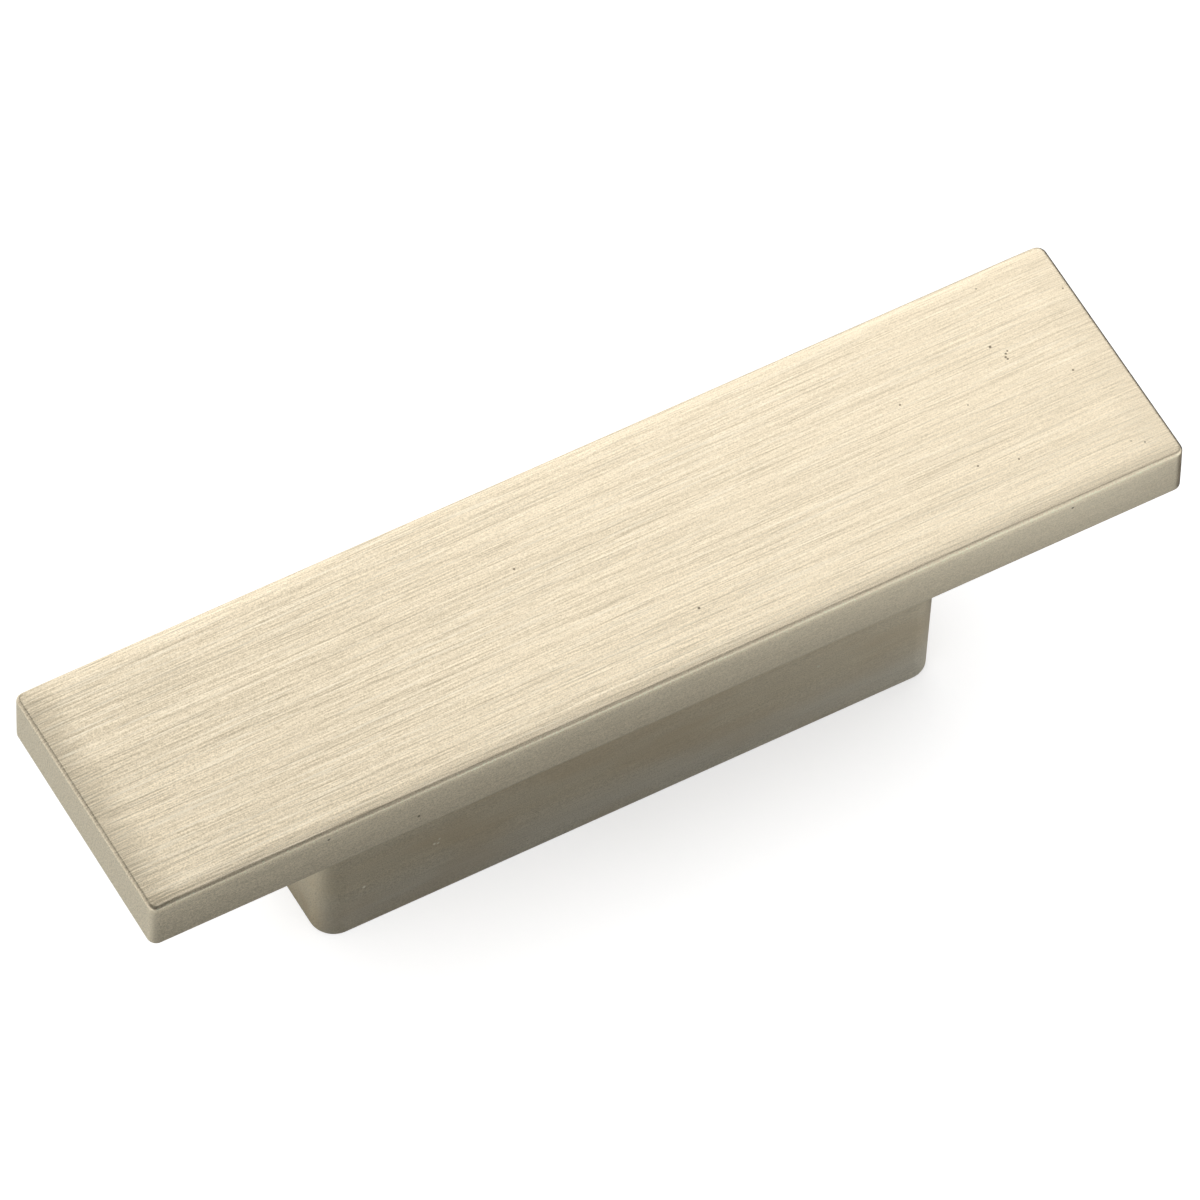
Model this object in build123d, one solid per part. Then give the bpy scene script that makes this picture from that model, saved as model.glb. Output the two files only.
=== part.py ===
from build123d import *
from math import radians, tan
import os

# Bar-shaped cabinet knob, die cast in one piece: a flat rectangular plate, which the fingers
# pull on, and a drafted block foot under its middle, which stands on the drawer front.
# Millimetres. The origin is the middle of the foot's mounting face, X runs along the plate,
# and Z points away from the drawer front.

# Plate
plate_length = 80.0
plate_width = 20.0
plate_thickness = 4.4
plate_corner_round = 0.7  # the four upright edges
plate_edge_round = 0.3  # the rim of the outer face and that of the back

# Margins of the outer face, where the belt rolled it down towards the edge
long_margin = 1.2
end_margin = 2.4
margin_drop = 0.08

# Long sides, rolled in below the outer face
side_roll = 2.0
side_roll_depth = 0.04

# Foot, measured at its mounting face
foot_length = 48.2
foot_width = 9.6
foot_height = 17.6  # the finger gap between the drawer front and the plate
foot_corner_radius = 1.8
foot_draft = 1.25  # degrees on every side, so that the casting leaves its die
foot_heel_round = 0.2  # edge around the mounting face
foot_root_fillet = 0.8  # where the foot runs into the plate

# Blind screw holes in the foot, tapped for M4 screws from inside the drawer
screw_spacing = 32.0
tapping_diameter = 3.3
tapping_depth = 12.0
drill_point_angle = 118.0
countersink_diameter = 4.4
countersink_angle = 90.0

# How far the plate's bar runs past its ends and its back, before it is cut square there
cutting_spare = 1.0

# Reach of the tests that pick edges by their place
pick_tolerance = 0.001

plate_back = foot_height
plate_face = plate_back + plate_thickness
margin_edge = plate_face - margin_drop
foot_flare = 2 * foot_height * tan(radians(foot_draft))


def bar_section():
    """Outline across the plate, drawn from the outer face down, with rolled margins and sides."""
    half = plate_width / 2
    flat_half = half - long_margin
    rim_half = half - side_roll_depth
    roll_end = -margin_drop - side_roll
    bottom = -plate_thickness - cutting_spare
    flat = Line((flat_half, 0), (-flat_half, 0))
    left_margin = TangentArc((-flat_half, 0), (-rim_half, -margin_drop), tangent=(-1, 0))
    right_margin = TangentArc((flat_half, 0), (rim_half, -margin_drop), tangent=(1, 0))
    left_side = TangentArc((-half, roll_end), (-rim_half, -margin_drop), tangent=(0, 1))
    right_side = TangentArc((half, roll_end), (rim_half, -margin_drop), tangent=(0, 1))
    back = Polyline((-half, roll_end), (-half, bottom), (half, bottom), (half, roll_end))
    return make_face([flat, left_margin, left_side, back, right_side, right_margin])


def bar_path():
    """Way from the middle of the outer face to the right: level, then falling over the margin."""
    flat_half = plate_length / 2 - end_margin
    reach = end_margin + cutting_spare
    fall = margin_drop * (reach / end_margin) ** 2
    level = Line((0, 0, plate_face), (flat_half, 0, plate_face))
    falling = TangentArc(
        (flat_half, 0, plate_face), (flat_half + reach, 0, plate_face - fall), tangent=(1, 0, 0)
    )
    return Wire([level, falling])


def on_plate_corner(edge):
    """True for an upright edge, where an end of the plate meets a long side."""
    middle = edge.center()
    at_end = abs(abs(middle.X) - plate_length / 2) < pick_tolerance
    at_side = plate_width / 2 - abs(middle.Y) < side_roll_depth + pick_tolerance
    return at_end and at_side


def on_plate_rim(edge):
    """True for an edge that runs around the outer face or around the back."""
    middle = edge.center()
    to_end = plate_length / 2 - abs(middle.X)
    to_side = plate_width / 2 - abs(middle.Y)
    at_border = min(to_end, to_side) < plate_corner_round / 2
    at_face = margin_edge - middle.Z < margin_drop
    at_back = abs(middle.Z - plate_back) < pick_tolerance
    return at_border and (at_face or at_back)


def plate():
    """The flat plate: a bar swept so that all four margins roll down, cut square and rounded."""
    section = Plane.YZ * Pos(0, plate_face) * bar_section()
    right_half = sweep(section, path=bar_path())
    bar = right_half + mirror(right_half, about=Plane.YZ)
    outline = Pos(0, 0, plate_back) * Rectangle(plate_length, plate_width)
    block = bar & extrude(outline, amount=plate_thickness + cutting_spare)
    block = fillet(block.edges().filter_by(on_plate_corner), plate_corner_round)
    return fillet(block.edges().filter_by(on_plate_rim), plate_edge_round)


def foot():
    """The block foot, with round upright corners and a heel that is eased all round."""
    heel = RectangleRounded(foot_length, foot_width, foot_corner_radius)
    block = extrude(heel, amount=foot_height, taper=-foot_draft)
    heel_edges = block.faces().sort_by(Axis.Z)[0].edges()
    return fillet(heel_edges, foot_heel_round)


def on_foot_root(edge):
    """True for an edge in the corner between the foot and the back of the plate."""
    middle = edge.center()
    at_back = abs(middle.Z - plate_back) < pick_tolerance
    along = abs(middle.X) < (foot_length + foot_flare) / 2 + pick_tolerance
    across = abs(middle.Y) < (foot_width + foot_flare) / 2 + pick_tolerance
    return at_back and along and across


def screw_hole():
    """Drilled and countersunk hole, open at the mounting face and closed at its point."""
    bore = tapping_diameter / 2
    mouth = countersink_diameter / 2
    countersink_depth = (mouth - bore) / tan(radians(countersink_angle / 2))
    point_depth = bore / tan(radians(drill_point_angle / 2))
    half_outline = Polyline(
        (0, 0),
        (mouth, 0),
        (bore, countersink_depth),
        (bore, tapping_depth),
        (0, tapping_depth + point_depth),
        close=True,
    )
    return revolve(Plane.XZ * make_face(half_outline), axis=Axis.Z)


def knob():
    casting = plate() + foot()
    casting = fillet(casting.edges().filter_by(on_foot_root), foot_root_fillet)
    for side in (-1, 1):
        casting -= Pos(side * screw_spacing / 2, 0, 0) * screw_hole()
    return casting


os.makedirs("parts", exist_ok=True)
export_step(knob(), "parts/knob.step")
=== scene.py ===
from math import cos, pi, radians, sin

import bpy
from mathutils import Matrix, Vector

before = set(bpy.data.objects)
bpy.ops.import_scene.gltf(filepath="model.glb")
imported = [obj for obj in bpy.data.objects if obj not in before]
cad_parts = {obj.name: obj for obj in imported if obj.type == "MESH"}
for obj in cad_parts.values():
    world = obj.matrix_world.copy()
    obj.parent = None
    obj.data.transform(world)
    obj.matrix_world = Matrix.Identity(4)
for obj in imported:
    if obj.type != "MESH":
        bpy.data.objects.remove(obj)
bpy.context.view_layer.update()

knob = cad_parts["knob"]

MM = 0.001

# Camera, in the terms of the photograph: a long lens, left and in front, looking down
PHOTO_PIXELS = 1200
AZIMUTH = 30.41
ELEVATION = 55.16
ROLL = 1.814
DISTANCE = 1069.6 * MM
PIXELS_PER_MM = 14.69
AIM = Vector((0, 0, 17.7 * MM))
AIM_PIXEL_OFFSET = (1.9, 7.75)
SENSOR_MM = 36.0
CLIP_START = DISTANCE * 0.1
CLIP_END = DISTANCE * 10

# Colours of the metal and of the marks on it
DULL_NICKEL = (0.56, 0.477, 0.343, 1)
BRIGHT_NICKEL = (1.0, 0.872, 0.667, 1)
GROOVE_COLOUR = (0.30, 0.25, 0.17, 1)
CREST_COLOUR = (1.0, 0.93, 0.77, 1)
# Darker strokes at the left end, partly belt marks and partly painted shade
COMB_AND_SHADE_COLOUR = (0.36, 0.30, 0.20, 1)
STAIN_COLOUR = (0.74, 0.58, 0.38, 1)
PIT_COLOUR = (0.10, 0.08, 0.05, 1)
SPECK_COLOUR = (0.80, 0.75, 0.60, 1)
NO_TINT = (1.0, 1.0, 1.0, 1)
# Painted reflection of the cool floor on the heel of the foot, lighter than the metal
HEEL_REFLECTION_TINT = (1.04, 1.09, 1.20, 1)

# Cells of noise in a millimetre, along the brushing and across it
HAIRLINES = (0.12, 8.0, 8.0)
DASHES = (0.7, 7.1, 7.1)
GRAINS = (10.0, 11.0, 11.0)
STREAKS = (0.05, 3.0, 3.0)
BANDS = (0.02, 0.45, 0.45)
STROKES = (0.20, 12.0, 12.0)
COMB = (0.35, 6.5, 6.5)
STAINS = (0.10, 0.35, 0.35)

# Where each noise is read, in cells, off its lattice planes, where it would show as a comb
BASE_SHIFT = (0.30, 0.40, 0.47)
GROOVE_SHIFT = (3.2, 40.3, 90.45)
CREST_SHIFT = (9.1, 70.6, 20.55)
COMB_SHIFT = (6.0, 50.3, 10.4)
STAIN_SHIFT = (7.0, 1.0, 5.0)
NOISE_MEAN = 0.5

# Distance in millimetres between the light and the dark side of a scratch
SCRATCH_WIDTH = 0.08

# How much each mark changes the metal
HAIRLINE_STRENGTH = 0.54
DASH_STRENGTH = 0.64
STREAK_STRENGTH = 0.06
BAND_STRENGTH = 0.14
SPECKLE_STRENGTH = 1.15
GROOVE_STRENGTH = 0.34
CREST_STRENGTH = 0.38
PIT_STRENGTH = 0.85
SPECK_STRENGTH = 0.8

# Curves of the metal's look: two ends of a measure, and the result at either end.
# BY_X and BY_HEIGHT are in millimetres, BY_TURN is the share by which a face turns sideways or endways.
WEAR_BY_X = (-40.0, 40.0, 1.0, 0.60)
TONE_BY_X = (-30.0, 20.0, 0.55, 0.66)
BRUSHED_BY_TURN = (0.3, 0.8, 1.0, 0.3)
UPRIGHT_BY_TURN = (0.3, 0.8, 0.0, 1.0)
CALM_BY_TURN = (0.3, 0.8, 1.0, 0.45)
STROKE_CUT = (0.62, 0.70, 0.0, 1.0)
COMB_CUT = (0.48, 0.60, 0.0, 0.30)
COMB_BY_X = (-36.8, -40.0, 0.0, 1.0)
COMB_BY_TURN = (0.3, 0.1, 0.0, 1.0)
STAIN_CUT = (0.45, 0.65, 0.0, 0.35)
STAIN_BY_HEIGHT = (18.0, 16.5, 0.0, 1.0)
HEEL_REFLECTION_BY_HEIGHT = (5.5, 2.0, 0.0, 1.0)
ROUGHNESS_BY_STREAK = (0.35, 0.65, 0.42, 0.39)

# Curves that add up to the painted shade of the upright faces: foot, front of the plate darker towards its
# bottom, and a painted highlight on its top rim
PAINTED_LIGHT_BY_HEIGHT = [
    (17.5, 17.7, 0.87, 0.79),
    (18.0, 21.4, 0.0, 0.19),
    (21.2, 21.7, 0.0, 0.24),
]

# Relief of the grain, and how far its gloss is drawn out across the brushing
RELIEF_DEPTH = 0.003 * MM
RELIEF_STRENGTH = 0.5
RELIEF_SHARE = 0.5
DRAWN_OUT = 0.7
BRUSHING = (1.0, 0.02, 0.013)

# Dark casting pits: place in the part's frame and radius, millimetres
PITS = [
    (33.05, 2.45, 22.0, 0.08),
    (33.00, 2.65, 22.0, 0.09),
    (33.15, 2.90, 22.0, 0.08),
    (33.35, 3.05, 22.0, 0.07),
    (32.48, 3.90, 22.0, 0.10),
    (34.07, 8.63, 22.0, 0.055),
    (39.38, 5.88, 21.95, 0.06),
    (36.53, -0.47, 22.0, 0.08),
    (29.55, -5.21, 22.0, 0.07),
    (26.79, -4.40, 22.0, 0.075),
    (37.05, -7.52, 22.0, 0.05),
    (37.85, -8.04, 22.0, 0.065),
    (28.72, 0.37, 22.0, 0.06),
    (24.62, 2.57, 22.0, 0.075),
    (-5.22, 3.04, 22.0, 0.08),
    (4.27, -5.71, 22.0, 0.10),
    (-19.63, -10.0, 19.15, 0.11),
    (-26.52, -10.0, 21.10, 0.10),
    (31.09, -10.0, 21.15, 0.10),
]

# Bright specks on the front of the foot
SPECKS = [
    (-15.55, -4.95, 6.30, 0.10),
    (-15.25, -4.95, 6.20, 0.09),
    (-15.15, -4.95, 6.65, 0.08),
    (-20.98, -4.90, 4.81, 0.13),
    (13.12, -5.0, 10.1, 0.10),
    (14.49, -4.95, 7.05, 0.12),
    (12.86, -4.88, 3.68, 0.09),
]

# Shares of a spot's radius at which its soft rim ends and begins
SPOT_RIM = (1.3, 0.6)

# Floor: reach and depth below the knob, grey under light, glow for the eye, and contact shade by X
FLOOR_REACH = 3.0
FLOOR_GAP = 0.02 * MM
FLOOR_GREY = 0.45
FLOOR_GLOW = 0.84
SHADE_REACH = 14 * MM
SHADE_SAMPLES = 8
SHADE_OPEN = (0.5, 1.0)
SHADE_BY_X = (-0.030, 0.0, 0.90, 0.72)
SKY_LIGHT = 0.75

# Grey table that the knob's sides mirror: its half sizes and height, and its grey by place in metres,
# painted with light and shade and darker under the plate's right end
TABLE_HALF = (0.11, 0.08)
TABLE_HEIGHT = 0.01 * MM
LEFT_GREY_BY_DIAGONAL = (0.014, 0.042, 0.44, 0.77)
RIGHT_GREY_BY_X = (0.006, 0.045, 0.0, 0.26)
FRONT_BY_Y = (-0.024, -0.045, 1.0, 1.7)
NEAR_BY_Y = (-0.012, -0.009, 1.0, 1.13)
END_BY_X = (0.048, 0.056, 1.0, 0.12)
UNDER_SHADE_BY_X = (0.031, 0.034, 0.0, 1.0)
UNDER_SHADE_BY_Y = (-0.016, -0.010, 0.0, 0.9)
TABLE_RED = 0.945
TABLE_BLUE = 1.02

# Dark cloth over the knob: height, edges, and the strip of it that runs back at the left
CLOTH_HEIGHT = 0.26
CLOTH_FAR = 0.8
CLOTH_FRONT = -0.12
CLOTH_BACK = 0.112
WINDOW_LEFT = 0.010
WINDOW_BEND = 0.13
STRIP_BEND = 0.17
STRIP_LEFT = -0.07
STRIP_RIGHT = -0.01
CLOTH_BY_Y = (-0.05, 0.06, 0.0, 1.0)
CLOTH_GREY = (0.42, 0.415, 0.40, 1)
CLOTH_OLIVE = (0.05, 0.085, 0.045, 1)

# Board in front, leaning from the floor to the cloth's front edge, and its grey by X
BOARD_LEFT = -0.4
BOARD_RIGHT = 0.095
BOARD_FOOT = -0.30
BOARD_BY_X = (0.035, BOARD_RIGHT, 0.25, 1.0)

# Black cards at the right: one standing, one lying
SIDE_X = 0.25
SIDE_Y = (0.0, 0.35)
SIDE_HEIGHT = 0.10
SIDE_COLOUR = (0.05, 0.05, 0.05, 1)
LYING_X = (0.055, SIDE_X)
LYING_Y = (-0.05, 0.35)
LYING_HEIGHT = 0.02 * MM
LYING_COLOUR = (0.08, 0.08, 0.08, 1)

# Softbox behind the knob at the right
SOFTBOX_PLACE = (0.20, 0.34, 0.50)
SOFTBOX_AIM = (0.01, 0.0, 0.02)
SOFTBOX_SIDE = 0.36
SOFTBOX_RADIANCE = 1.19


def make_camera():
    """Camera whose picture lays the knob where the photograph has it."""
    azimuth, elevation, roll = radians(AZIMUTH), radians(ELEVATION), radians(ROLL)
    back = Vector((-sin(azimuth) * cos(elevation), -cos(azimuth) * cos(elevation), sin(elevation)))
    level_right = Vector((cos(azimuth), -sin(azimuth), 0))
    level_up = back.cross(level_right)
    right = level_right * cos(roll) + level_up * sin(roll)
    up = level_up * cos(roll) - level_right * sin(roll)
    metre_per_pixel = MM / PIXELS_PER_MM
    offset = up * AIM_PIXEL_OFFSET[1] - right * AIM_PIXEL_OFFSET[0]
    place = AIM + back * DISTANCE + offset * metre_per_pixel
    data = bpy.data.cameras.new("camera")
    data.sensor_width = SENSOR_MM
    data.lens = SENSOR_MM * DISTANCE / (PHOTO_PIXELS * metre_per_pixel)
    data.clip_start = CLIP_START
    data.clip_end = CLIP_END
    camera = bpy.data.objects.new("camera", data)
    axes = Matrix((right, up, back)).transposed()
    camera.matrix_world = Matrix.Translation(place) @ axes.to_4x4()
    bpy.context.scene.collection.objects.link(camera)
    bpy.context.scene.camera = camera


class Nodes:
    """Short ways to add and join shader nodes in one tree."""

    def __init__(self, tree):
        self.tree = tree
        tree.nodes.clear()

    def add(self, kind, values=None, **settings):
        node = self.tree.nodes.new(kind)
        for name, value in settings.items():
            setattr(node, name, value)
        for socket, value in (values or {}).items():
            self.feed(node.inputs[socket], value)
        return node

    def feed(self, socket, value):
        if isinstance(value, bpy.types.NodeSocket):
            self.tree.links.new(value, socket)
        else:
            socket.default_value = value

    def show(self, shader, output="ShaderNodeOutputMaterial"):
        """Joins a shader node to the output."""
        self.feed(self.add(output).inputs["Surface"], shader.outputs[0])

    def place(self):
        """Place on the object, in metres."""
        return self.add("ShaderNodeTexCoord").outputs["Object"]

    def split(self, vector):
        return list(self.add("ShaderNodeSeparateXYZ", {"Vector": vector}).outputs)

    def join(self, x, y, z):
        return self.add("ShaderNodeCombineXYZ", {0: x, 1: y, 2: z}).outputs[0]

    def math(self, operation, first, second=0.0, clamp=False):
        node = self.add("ShaderNodeMath", {0: first, 1: second}, operation=operation, use_clamp=clamp)
        return node.outputs[0]

    def times(self, first, second):
        return self.math("MULTIPLY", first, second)

    def less(self, first, second):
        return self.math("SUBTRACT", first, second)

    def scaled(self, vector, factor):
        return self.add("ShaderNodeVectorMath", {0: vector, "Scale": factor}, operation="SCALE").outputs[0]

    def noise(self, vector, scale, detail=0.0, shift=BASE_SHIFT):
        factors = {0: vector, 1: scale, 2: shift}
        stretched = self.add("ShaderNodeVectorMath", factors, operation="MULTIPLY_ADD")
        values = {"Vector": stretched.outputs[0], "Scale": 1.0, "Detail": detail}
        return self.add("ShaderNodeTexNoise", values).outputs["Fac"]

    def fine_lines(self, vector, scale):
        """Noise less the same noise a little aside, which leaves its fine lines and no broad ones."""
        x, y, z = BASE_SHIFT
        aside = self.noise(vector, scale, shift=(x, y + SCRATCH_WIDTH * scale[1], z))
        return self.less(self.noise(vector, scale), aside)

    def remap(self, value, low, high, to_low=0.0, to_high=1.0):
        values = {"Value": value, "From Min": low, "From Max": high, "To Min": to_low, "To Max": to_high}
        return self.add("ShaderNodeMapRange", values).outputs[0]

    def blend(self, parts):
        """Weighted sum of values."""
        total = 0.0
        for value, weight in parts:
            total = self.math("ADD", total, self.times(value, weight))
        return total

    def mix_colour(self, amount, first, second):
        node = self.add("ShaderNodeMix", data_type="RGBA")
        self.feed(node.inputs[0], amount)
        self.feed(node.inputs[6], first)
        self.feed(node.inputs[7], second)
        return node.outputs[2]


def new_material(name):
    material = bpy.data.materials.new(name)
    material.use_nodes = True
    return material, Nodes(material.node_tree)


class Surface:
    """Where a point of the knob lies and how its face is turned, as shader values."""

    def __init__(self, nodes):
        self.mm = nodes.scaled(nodes.place(), 1 / MM)
        self.along, _, self.height = nodes.split(self.mm)
        self.facing = nodes.add("ShaderNodeNewGeometry").outputs["Normal"]
        turned_x, turned_y, _ = nodes.split(self.facing)
        self.endways = nodes.math("ABSOLUTE", turned_x)
        self.sideways = nodes.math("ABSOLUTE", turned_y)
        self.upright = nodes.remap(self.sideways, *UPRIGHT_BY_TURN)
        self.brushed = nodes.remap(self.sideways, *BRUSHED_BY_TURN)
        self.wear = nodes.remap(self.along, *WEAR_BY_X)


def brushed_tone(nodes, surface, streaks, grains):
    """Brightness of the brushed metal: lines and speckle, calmer to the right and on the end faces."""
    lines = nodes.blend([
        (nodes.fine_lines(surface.mm, HAIRLINES), HAIRLINE_STRENGTH),
        (nodes.fine_lines(surface.mm, DASHES), DASH_STRENGTH),
        (streaks, STREAK_STRENGTH),
        (nodes.noise(surface.mm, BANDS, detail=1.0), BAND_STRENGTH),
    ])
    lines = nodes.less(lines, NOISE_MEAN * (STREAK_STRENGTH + BAND_STRENGTH))
    lines = nodes.times(lines, surface.brushed)
    speckle = nodes.times(nodes.less(grains, NOISE_MEAN), SPECKLE_STRENGTH)
    swing = nodes.times(nodes.math("ADD", lines, speckle), surface.wear)
    swing = nodes.times(swing, nodes.remap(surface.endways, *CALM_BY_TURN))
    return nodes.math("ADD", swing, nodes.remap(surface.along, *TONE_BY_X), clamp=True)


def add_strokes(nodes, surface, colour, grooves, crests):
    """Single dark and light belt strokes on the brushed faces."""
    worn = nodes.times(surface.wear, surface.brushed)
    dark = nodes.times(grooves, GROOVE_STRENGTH)
    colour = nodes.mix_colour(nodes.times(dark, worn), colour, GROOVE_COLOUR)
    light = nodes.times(crests, CREST_STRENGTH)
    return nodes.mix_colour(nodes.times(light, worn), colour, CREST_COLOUR)


def add_comb_and_end_shade(nodes, surface, colour):
    """Darker strokes at the left end: belt marks where the belt ran off it, and painted shade where the top
    rolls off there.
    """
    near_end = nodes.remap(surface.along, *COMB_BY_X)
    comb = nodes.remap(nodes.noise(surface.mm, COMB, detail=2.0, shift=COMB_SHIFT), *COMB_CUT)
    combed_and_shaded = nodes.times(near_end, comb)
    combed_and_shaded = nodes.times(combed_and_shaded, nodes.remap(surface.sideways, *COMB_BY_TURN))
    return nodes.mix_colour(combed_and_shaded, colour, COMB_AND_SHADE_COLOUR)


def add_foot_stains_and_heel_reflection(nodes, surface, colour):
    """Brown patches on the foot, and a painted reflection on its heel, lighter and cooler."""
    patches = nodes.remap(nodes.noise(surface.mm, STAINS, detail=2.0, shift=STAIN_SHIFT), *STAIN_CUT)
    brown = nodes.times(patches, nodes.remap(surface.height, *STAIN_BY_HEIGHT))
    colour = nodes.mix_colour(brown, colour, STAIN_COLOUR)
    # Painted reflection: the heel lighter and cooler
    heel_reflection = nodes.times(nodes.remap(surface.height, *HEEL_REFLECTION_BY_HEIGHT), surface.upright)
    reflection_tint = nodes.mix_colour(heel_reflection, NO_TINT, HEEL_REFLECTION_TINT)
    return nodes.add("ShaderNodeVectorMath", {0: colour, 1: reflection_tint}, operation="MULTIPLY").outputs[0]


def shade_upright_faces(nodes, surface, colour):
    """Painted shade: the foot darker and the plate's front darker towards its bottom, with a painted
    highlight on its top rim.
    """
    painted_light_and_shade = nodes.blend([(nodes.remap(surface.height, *curve), 1.0) for curve in PAINTED_LIGHT_BY_HEIGHT])
    shade = nodes.math("ADD", nodes.times(surface.upright, nodes.less(painted_light_and_shade, 1.0)), 1.0)
    return nodes.scaled(colour, shade)


def spots(nodes, mm, places, strength):
    """The strength inside any of the spots, zero outside, with a soft rim."""
    total = 0.0
    for x, y, z, radius in places:
        gap = nodes.add("ShaderNodeVectorMath", {0: mm, 1: (x, y, z)}, operation="DISTANCE").outputs["Value"]
        inside = nodes.remap(gap, radius * SPOT_RIM[0], radius * SPOT_RIM[1])
        total = nodes.math("ADD", total, inside)
    return nodes.math("MULTIPLY", total, strength, clamp=True)


def brushed_nickel():
    """Warm satin nickel, brushed along X, with belt lines, stains, pits and specks, and with painted shade
    and highlight on its upright faces and a painted reflection on its heel.
    """
    material, nodes = new_material("brushed_satin_nickel")
    surface = Surface(nodes)
    grains = nodes.noise(surface.mm, GRAINS)
    streaks = nodes.noise(surface.mm, STREAKS)
    grooves = nodes.remap(nodes.noise(surface.mm, STROKES, shift=GROOVE_SHIFT), *STROKE_CUT)
    crests = nodes.remap(nodes.noise(surface.mm, STROKES, shift=CREST_SHIFT), *STROKE_CUT)

    tone = brushed_tone(nodes, surface, streaks, grains)
    colour = nodes.mix_colour(tone, DULL_NICKEL, BRIGHT_NICKEL)
    colour = add_strokes(nodes, surface, colour, grooves, crests)
    colour = add_comb_and_end_shade(nodes, surface, colour)
    colour = add_foot_stains_and_heel_reflection(nodes, surface, colour)
    colour = shade_upright_faces(nodes, surface, colour)
    colour = nodes.mix_colour(spots(nodes, surface.mm, PITS, PIT_STRENGTH), colour, PIT_COLOUR)
    specks = spots(nodes, surface.mm, SPECKS, SPECK_STRENGTH)
    colour = nodes.mix_colour(specks, colour, SPECK_COLOUR)

    relief = nodes.blend([(crests, RELIEF_SHARE), (grooves, -RELIEF_SHARE), (grains, RELIEF_SHARE)])
    bump = nodes.add("ShaderNodeBump", {
        "Strength": RELIEF_STRENGTH,
        "Distance": RELIEF_DEPTH,
        "Height": relief,
    })
    across_grain = nodes.add(
        "ShaderNodeVectorMath", {0: surface.facing, 1: BRUSHING}, operation="CROSS_PRODUCT"
    ).outputs[0]
    nodes.show(nodes.add("ShaderNodeBsdfPrincipled", {
        "Base Color": colour,
        "Metallic": nodes.less(1.0, specks),
        "Roughness": nodes.remap(streaks, *ROUGHNESS_BY_STREAK),
        "Anisotropic": DRAWN_OUT,
        "Tangent": across_grain,
        "Normal": bump.outputs[0],
    }))
    return material


def lit_for_viewers(nodes, seen, otherwise):
    """A strength that eyes, mirrors and glass see, and another one for the light that falls on things."""
    path = nodes.add("ShaderNodeLightPath")
    looked_at = nodes.math("MAXIMUM", path.outputs["Is Camera Ray"], path.outputs["Is Glossy Ray"])
    looked_at = nodes.math("MAXIMUM", looked_at, path.outputs["Is Transmission Ray"])
    return nodes.remap(looked_at, 0, 1, otherwise, seen)


def floor_material():
    """Pale floor, shaded where the knob stands close over it."""
    material, nodes = new_material("pale_floor")
    grey = (FLOOR_GREY, FLOOR_GREY, FLOOR_GREY, 1)
    diffuse = nodes.add("ShaderNodeBsdfDiffuse", {"Color": grey})
    nearness = nodes.add("ShaderNodeAmbientOcclusion", {"Distance": SHADE_REACH}, samples=SHADE_SAMPLES)
    depth = nodes.remap(nodes.split(nodes.place())[0], *SHADE_BY_X)
    shaded = nodes.remap(nearness.outputs["AO"], *SHADE_OPEN, depth, 1.0)
    strength = nodes.times(lit_for_viewers(nodes, FLOOR_GLOW, 0.0), shaded)
    glow = nodes.add("ShaderNodeEmission", {"Strength": strength})
    nodes.show(nodes.add("ShaderNodeAddShader", {0: diffuse.outputs[0], 1: glow.outputs[0]}))
    return material


def plain_material(name, colour):
    material, nodes = new_material(name)
    nodes.show(nodes.add("ShaderNodeBsdfDiffuse", {"Color": colour}))
    return material


def table_material():
    """The shaded table in front of the knob, as its sides mirror it: painted lighter at both ends, and
    painted darker under the plate's right end.
    """
    material, nodes = new_material("shaded_table")
    x, y, _ = nodes.split(nodes.place())
    left = nodes.remap(nodes.less(y, x), *LEFT_GREY_BY_DIAGONAL)
    grey = nodes.math("ADD", left, nodes.remap(x, *RIGHT_GREY_BY_X))
    grey = nodes.times(grey, nodes.remap(y, *FRONT_BY_Y))
    grey = nodes.times(grey, nodes.remap(y, *NEAR_BY_Y))
    grey = nodes.times(grey, nodes.remap(x, *END_BY_X))
    # Painted shade under the plate's right end
    under_shade = nodes.times(nodes.remap(x, *UNDER_SHADE_BY_X), nodes.remap(y, *UNDER_SHADE_BY_Y))
    grey = nodes.times(grey, nodes.less(1.0, under_shade))
    colour = nodes.join(nodes.times(grey, TABLE_RED), grey, nodes.times(grey, TABLE_BLUE))
    nodes.show(nodes.add("ShaderNodeBsdfDiffuse", {"Color": colour}))
    return material


def board_material():
    """The dark board in front of the knob, fading to white at its right."""
    material, nodes = new_material("fading_board")
    grey = nodes.remap(nodes.split(nodes.place())[0], *BOARD_BY_X)
    nodes.show(nodes.add("ShaderNodeBsdfDiffuse", {"Color": nodes.join(grey, grey, grey)}))
    return material


def cloth_material():
    """The cloth over the knob: dark olive at its far edge, which the margins mirror, and grey in front."""
    material, nodes = new_material("olive_cloth")
    dark = nodes.remap(nodes.split(nodes.place())[1], *CLOTH_BY_Y)
    colour = nodes.mix_colour(dark, CLOTH_GREY, CLOTH_OLIVE)
    nodes.show(nodes.add("ShaderNodeBsdfDiffuse", {"Color": colour}))
    return material


def make_sheet(name, corners, material):
    """A flat sheet of the stage, with its corners in order round its rim."""
    mesh = bpy.data.meshes.new(name)
    mesh.from_pydata(corners, [], [tuple(range(len(corners)))])
    mesh.materials.append(material)
    sheet = bpy.data.objects.new(name, mesh)
    bpy.context.scene.collection.objects.link(sheet)
    return sheet


def make_flag(name, corners, material):
    """A sheet that shows only in the metal's reflections."""
    flag = make_sheet(name, corners, material)
    flag.visible_camera = False
    flag.visible_diffuse = False
    flag.visible_shadow = False
    flag.visible_transmission = False


def level(low_x, high_x, low_y, high_y, z):
    """Corners of a level rectangle."""
    return [(low_x, low_y, z), (high_x, low_y, z), (high_x, high_y, z), (low_x, high_y, z)]


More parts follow.
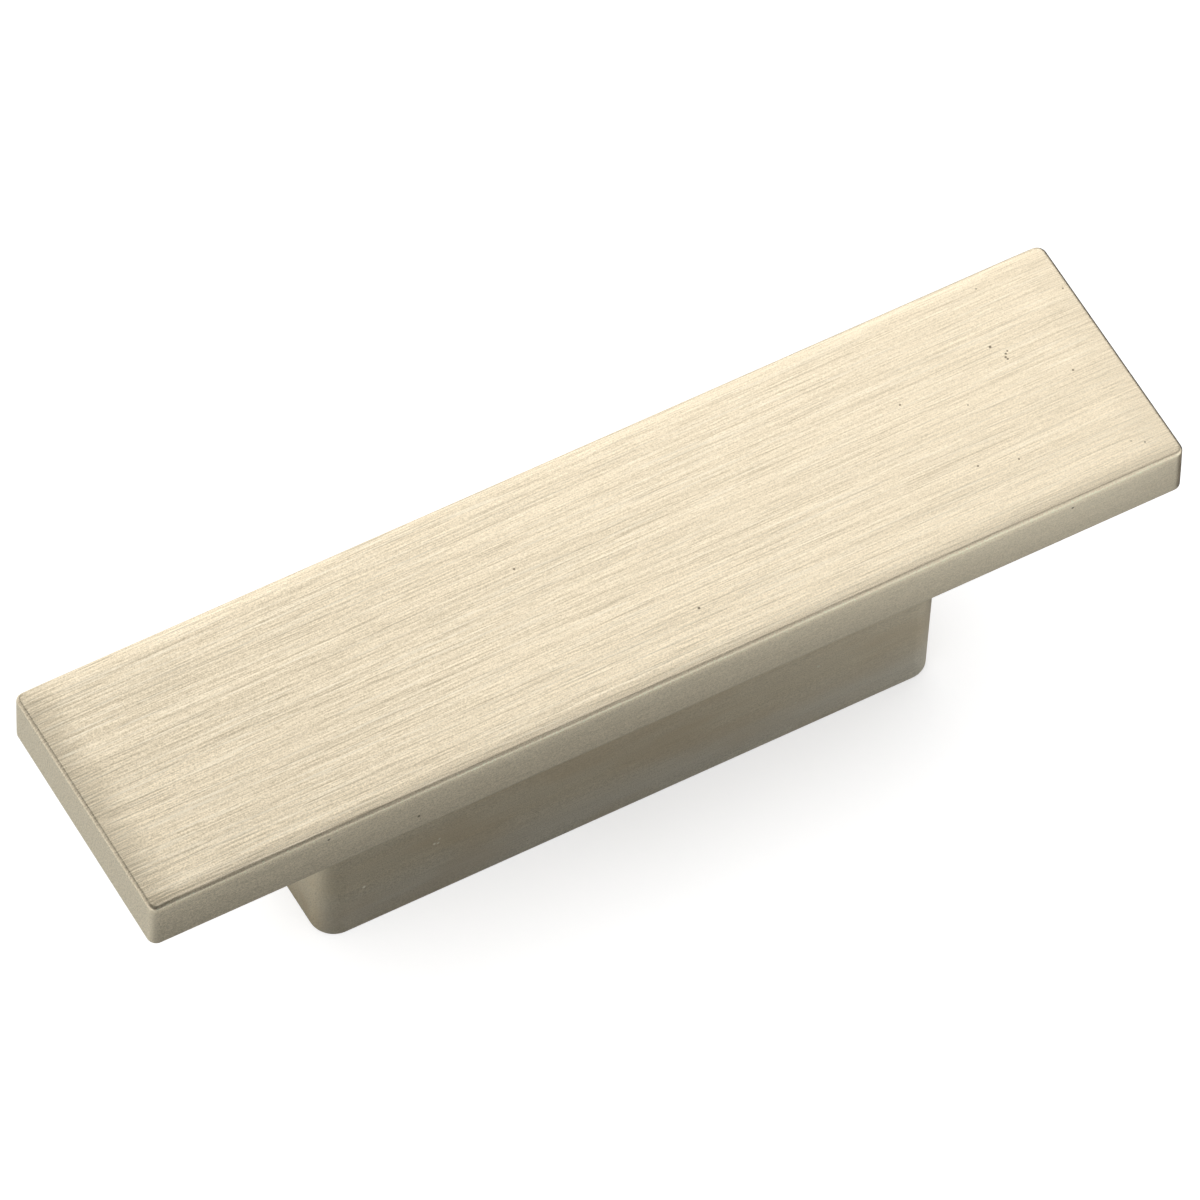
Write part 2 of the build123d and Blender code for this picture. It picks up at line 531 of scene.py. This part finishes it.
def make_flags():
    half_x, half_y = TABLE_HALF
    make_flag("grey_table", level(-half_x, half_x, -half_y, half_y, TABLE_HEIGHT), table_material())
    cloth_outline = [
        (-CLOTH_FAR, CLOTH_FRONT),
        (CLOTH_FAR, CLOTH_FRONT),
        (CLOTH_FAR, CLOTH_BACK),
        (WINDOW_LEFT, CLOTH_BACK),
        (WINDOW_LEFT, WINDOW_BEND),
        (STRIP_RIGHT, STRIP_BEND),
        (STRIP_RIGHT, CLOTH_FAR),
        (STRIP_LEFT, CLOTH_FAR),
        (STRIP_LEFT, CLOTH_BACK),
        (-CLOTH_FAR, CLOTH_BACK),
    ]
    make_flag("dark_ceiling", [(x, y, CLOTH_HEIGHT) for x, y in cloth_outline], cloth_material())
    make_flag("front_flag", [
        (BOARD_LEFT, BOARD_FOOT, 0.0),
        (BOARD_RIGHT, BOARD_FOOT, 0.0),
        (BOARD_RIGHT, CLOTH_FRONT, CLOTH_HEIGHT),
        (BOARD_LEFT, CLOTH_FRONT, CLOTH_HEIGHT),
    ], board_material())
    near, far = SIDE_Y
    make_flag("right_flag", [
        (SIDE_X, near, 0.0),
        (SIDE_X, far, 0.0),
        (SIDE_X, far, SIDE_HEIGHT),
        (SIDE_X, near, SIDE_HEIGHT),
    ], plain_material("black_side", SIDE_COLOUR))
    lying_card = level(*LYING_X, *LYING_Y, LYING_HEIGHT)
    make_flag("right_table", lying_card, plain_material("black_table", LYING_COLOUR))


def make_softbox():
    data = bpy.data.lights.new("back_softbox", "AREA")
    data.shape = "SQUARE"
    data.size = SOFTBOX_SIDE
    data.energy = SOFTBOX_RADIANCE * pi * SOFTBOX_SIDE * SOFTBOX_SIDE
    lamp = bpy.data.objects.new("back_softbox", data)
    lamp.location = SOFTBOX_PLACE
    lamp.rotation_mode = "QUATERNION"
    lamp.rotation_quaternion = (Vector(SOFTBOX_AIM) - Vector(SOFTBOX_PLACE)).to_track_quat("-Z", "Y")
    bpy.context.scene.collection.objects.link(lamp)


def make_world():
    world = bpy.data.worlds.new("studio")
    world.use_nodes = True
    nodes = Nodes(world.node_tree)
    strength = lit_for_viewers(nodes, 1.0, SKY_LIGHT)
    background = nodes.add("ShaderNodeBackground", {"Color": (1, 1, 1, 1), "Strength": strength})
    nodes.show(background, output="ShaderNodeOutputWorld")
    bpy.context.scene.world = world


make_camera()
knob.data.materials.clear()
knob.data.materials.append(brushed_nickel())
floor_corners = level(-FLOOR_REACH, FLOOR_REACH, -FLOOR_REACH, FLOOR_REACH, -FLOOR_GAP)
make_sheet("floor", floor_corners, floor_material())
make_flags()
make_softbox()
make_world()

scene = bpy.context.scene
scene.view_settings.view_transform = "Standard"
